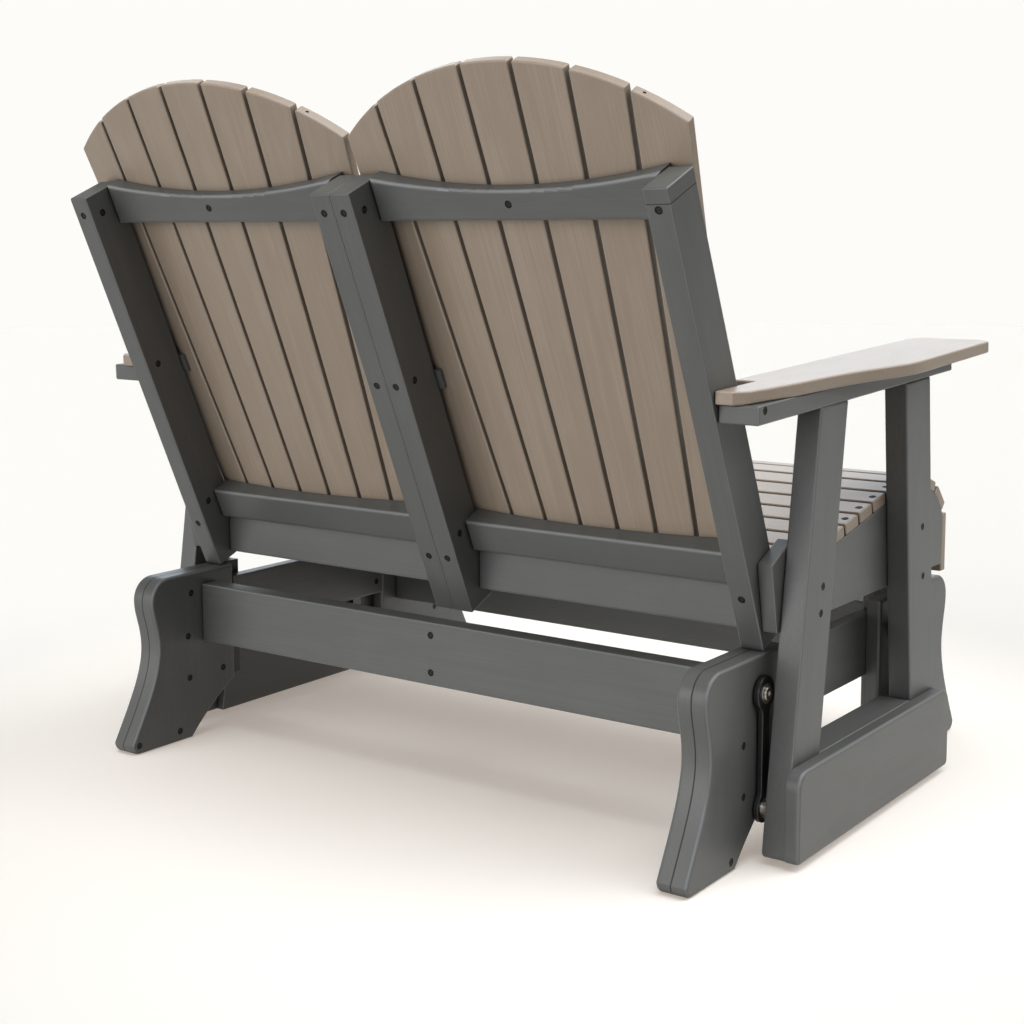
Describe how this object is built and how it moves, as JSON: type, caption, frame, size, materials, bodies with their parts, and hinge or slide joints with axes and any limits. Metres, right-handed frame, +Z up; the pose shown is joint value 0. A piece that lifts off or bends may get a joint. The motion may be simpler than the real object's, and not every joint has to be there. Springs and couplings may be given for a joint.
{
  "type": "glider loveseat",
  "caption": "Garden loveseat glider with fanned slat backs, broad flat arms and a slatted seat that hangs on swing links from a standing base frame.",
  "frame": {"origin": "on the floor below the middle of the overall box", "axes": "+X across the seat towards the sitter's left, +Y to the rear, +Z up; the sitter faces -Y"},
  "size_m": [1.376, 1.0506, 1.1456],
  "materials": {
    "grey_lumber": "slate grey plastic lumber, lightly brushed grain",
    "taupe_lumber": "taupe plastic lumber, lightly brushed grain",
    "black_link": "black moulded link",
    "bearing_steel": "bright steel ring",
    "bolt_steel": "bright steel",
    "dark_screw": "dark coated screw"
  },
  "bodies": {
    "base": {"base_front_rail": "grey_lumber", "base_rear_cleat": "grey_lumber", "base_rear_rail": "grey_lumber", "base_screws": "dark_screw", "base_side_rail_left": "grey_lumber", "base_side_rail_right": "grey_lumber", "front_leg_left": "grey_lumber", "front_leg_right": "grey_lumber", "rear_leg_left": "grey_lumber", "rear_leg_right": "grey_lumber", "upper_pivot_bolts": "bolt_steel", "upper_pivot_washers": "bolt_steel"},
    "seat": {"arm_cleat_left": "grey_lumber", "arm_cleat_right": "grey_lumber", "arm_left": "taupe_lumber", "arm_right": "taupe_lumber", "back_slats_1": "taupe_lumber", "back_slats_2": "taupe_lumber", "back_slats_3": "taupe_lumber", "back_slats_4": "taupe_lumber", "back_slats_5": "taupe_lumber", "back_slats_6": "taupe_lumber", "back_slats_7": "taupe_lumber", "centre_back_post_left": "grey_lumber", "centre_back_post_right": "grey_lumber", "centre_stringer_left": "grey_lumber", "centre_stringer_right": "grey_lumber", "crown_rail_left": "grey_lumber", "crown_rail_right": "grey_lumber", "frame_screws": "dark_screw", "front_apron": "taupe_lumber", "front_arm_post_left": "grey_lumber", "front_arm_post_right": "grey_lumber", "inner_foot_board_left": "grey_lumber", "inner_foot_board_right": "grey_lumber", "lower_back_rail_left": "grey_lumber", "lower_back_rail_right": "grey_lumber", "lower_pivot_bolts": "bolt_steel", "lower_pivot_washers": "bolt_steel", "outer_back_post_left": "grey_lumber", "outer_back_post_right": "grey_lumber", "outer_foot_board_left": "grey_lumber", "outer_foot_board_right": "grey_lumber", "rear_apron_left": "grey_lumber", "rear_apron_right": "grey_lumber", "rear_arm_post_left": "grey_lumber", "rear_arm_post_right": "grey_lumber", "seat_slats": "taupe_lumber", "side_stringer_left": "grey_lumber", "side_stringer_right": "grey_lumber", "slat_screws": "dark_screw", "slat_spacers": "grey_lumber"},
    "link_front_left": {"link_bearings_front_left": "bearing_steel", "link_front_left": "black_link"},
    "link_front_right": {"link_bearings_front_right": "bearing_steel", "link_front_right": "black_link"},
    "link_rear_left": {"link_bearings_rear_left": "bearing_steel", "link_rear_left": "black_link"},
    "link_rear_right": {"link_bearings_rear_right": "bearing_steel", "link_rear_right": "black_link"}
  },
  "joints": [
    {"name": "glide", "type": "hinge", "parent": "base", "child": "link_rear_right", "pos_m": [-0.582, 0.25173, 0.246], "axis": [1, 0, 0], "range_deg": [-18, 18]},
    {"name": "seat_on_rear_right_link", "type": "hinge", "parent": "link_rear_right", "child": "seat", "pos_m": [-0.582, 0.25173, 0.075], "axis": [1, 0, 0], "range_deg": [-18, 18]},
    {"name": "rear_left_link_swing", "type": "hinge", "parent": "base", "child": "link_rear_left", "pos_m": [0.582, 0.25173, 0.246], "axis": [1, 0, 0], "range_deg": [-18, 18]},
    {"name": "front_right_link_swing", "type": "hinge", "parent": "base", "child": "link_front_right", "pos_m": [-0.582, -0.25627, 0.246], "axis": [1, 0, 0], "range_deg": [-18, 18]},
    {"name": "front_left_link_swing", "type": "hinge", "parent": "base", "child": "link_front_left", "pos_m": [0.582, -0.25627, 0.246], "axis": [1, 0, 0], "range_deg": [-18, 18]}
  ],
  "couplings": [
    {"joint": "seat_on_rear_right_link", "follows": "glide", "ratio": -1},
    {"joint": "rear_left_link_swing", "follows": "glide", "ratio": 1},
    {"joint": "front_right_link_swing", "follows": "glide", "ratio": 1},
    {"joint": "front_left_link_swing", "follows": "glide", "ratio": 1}
  ]
}
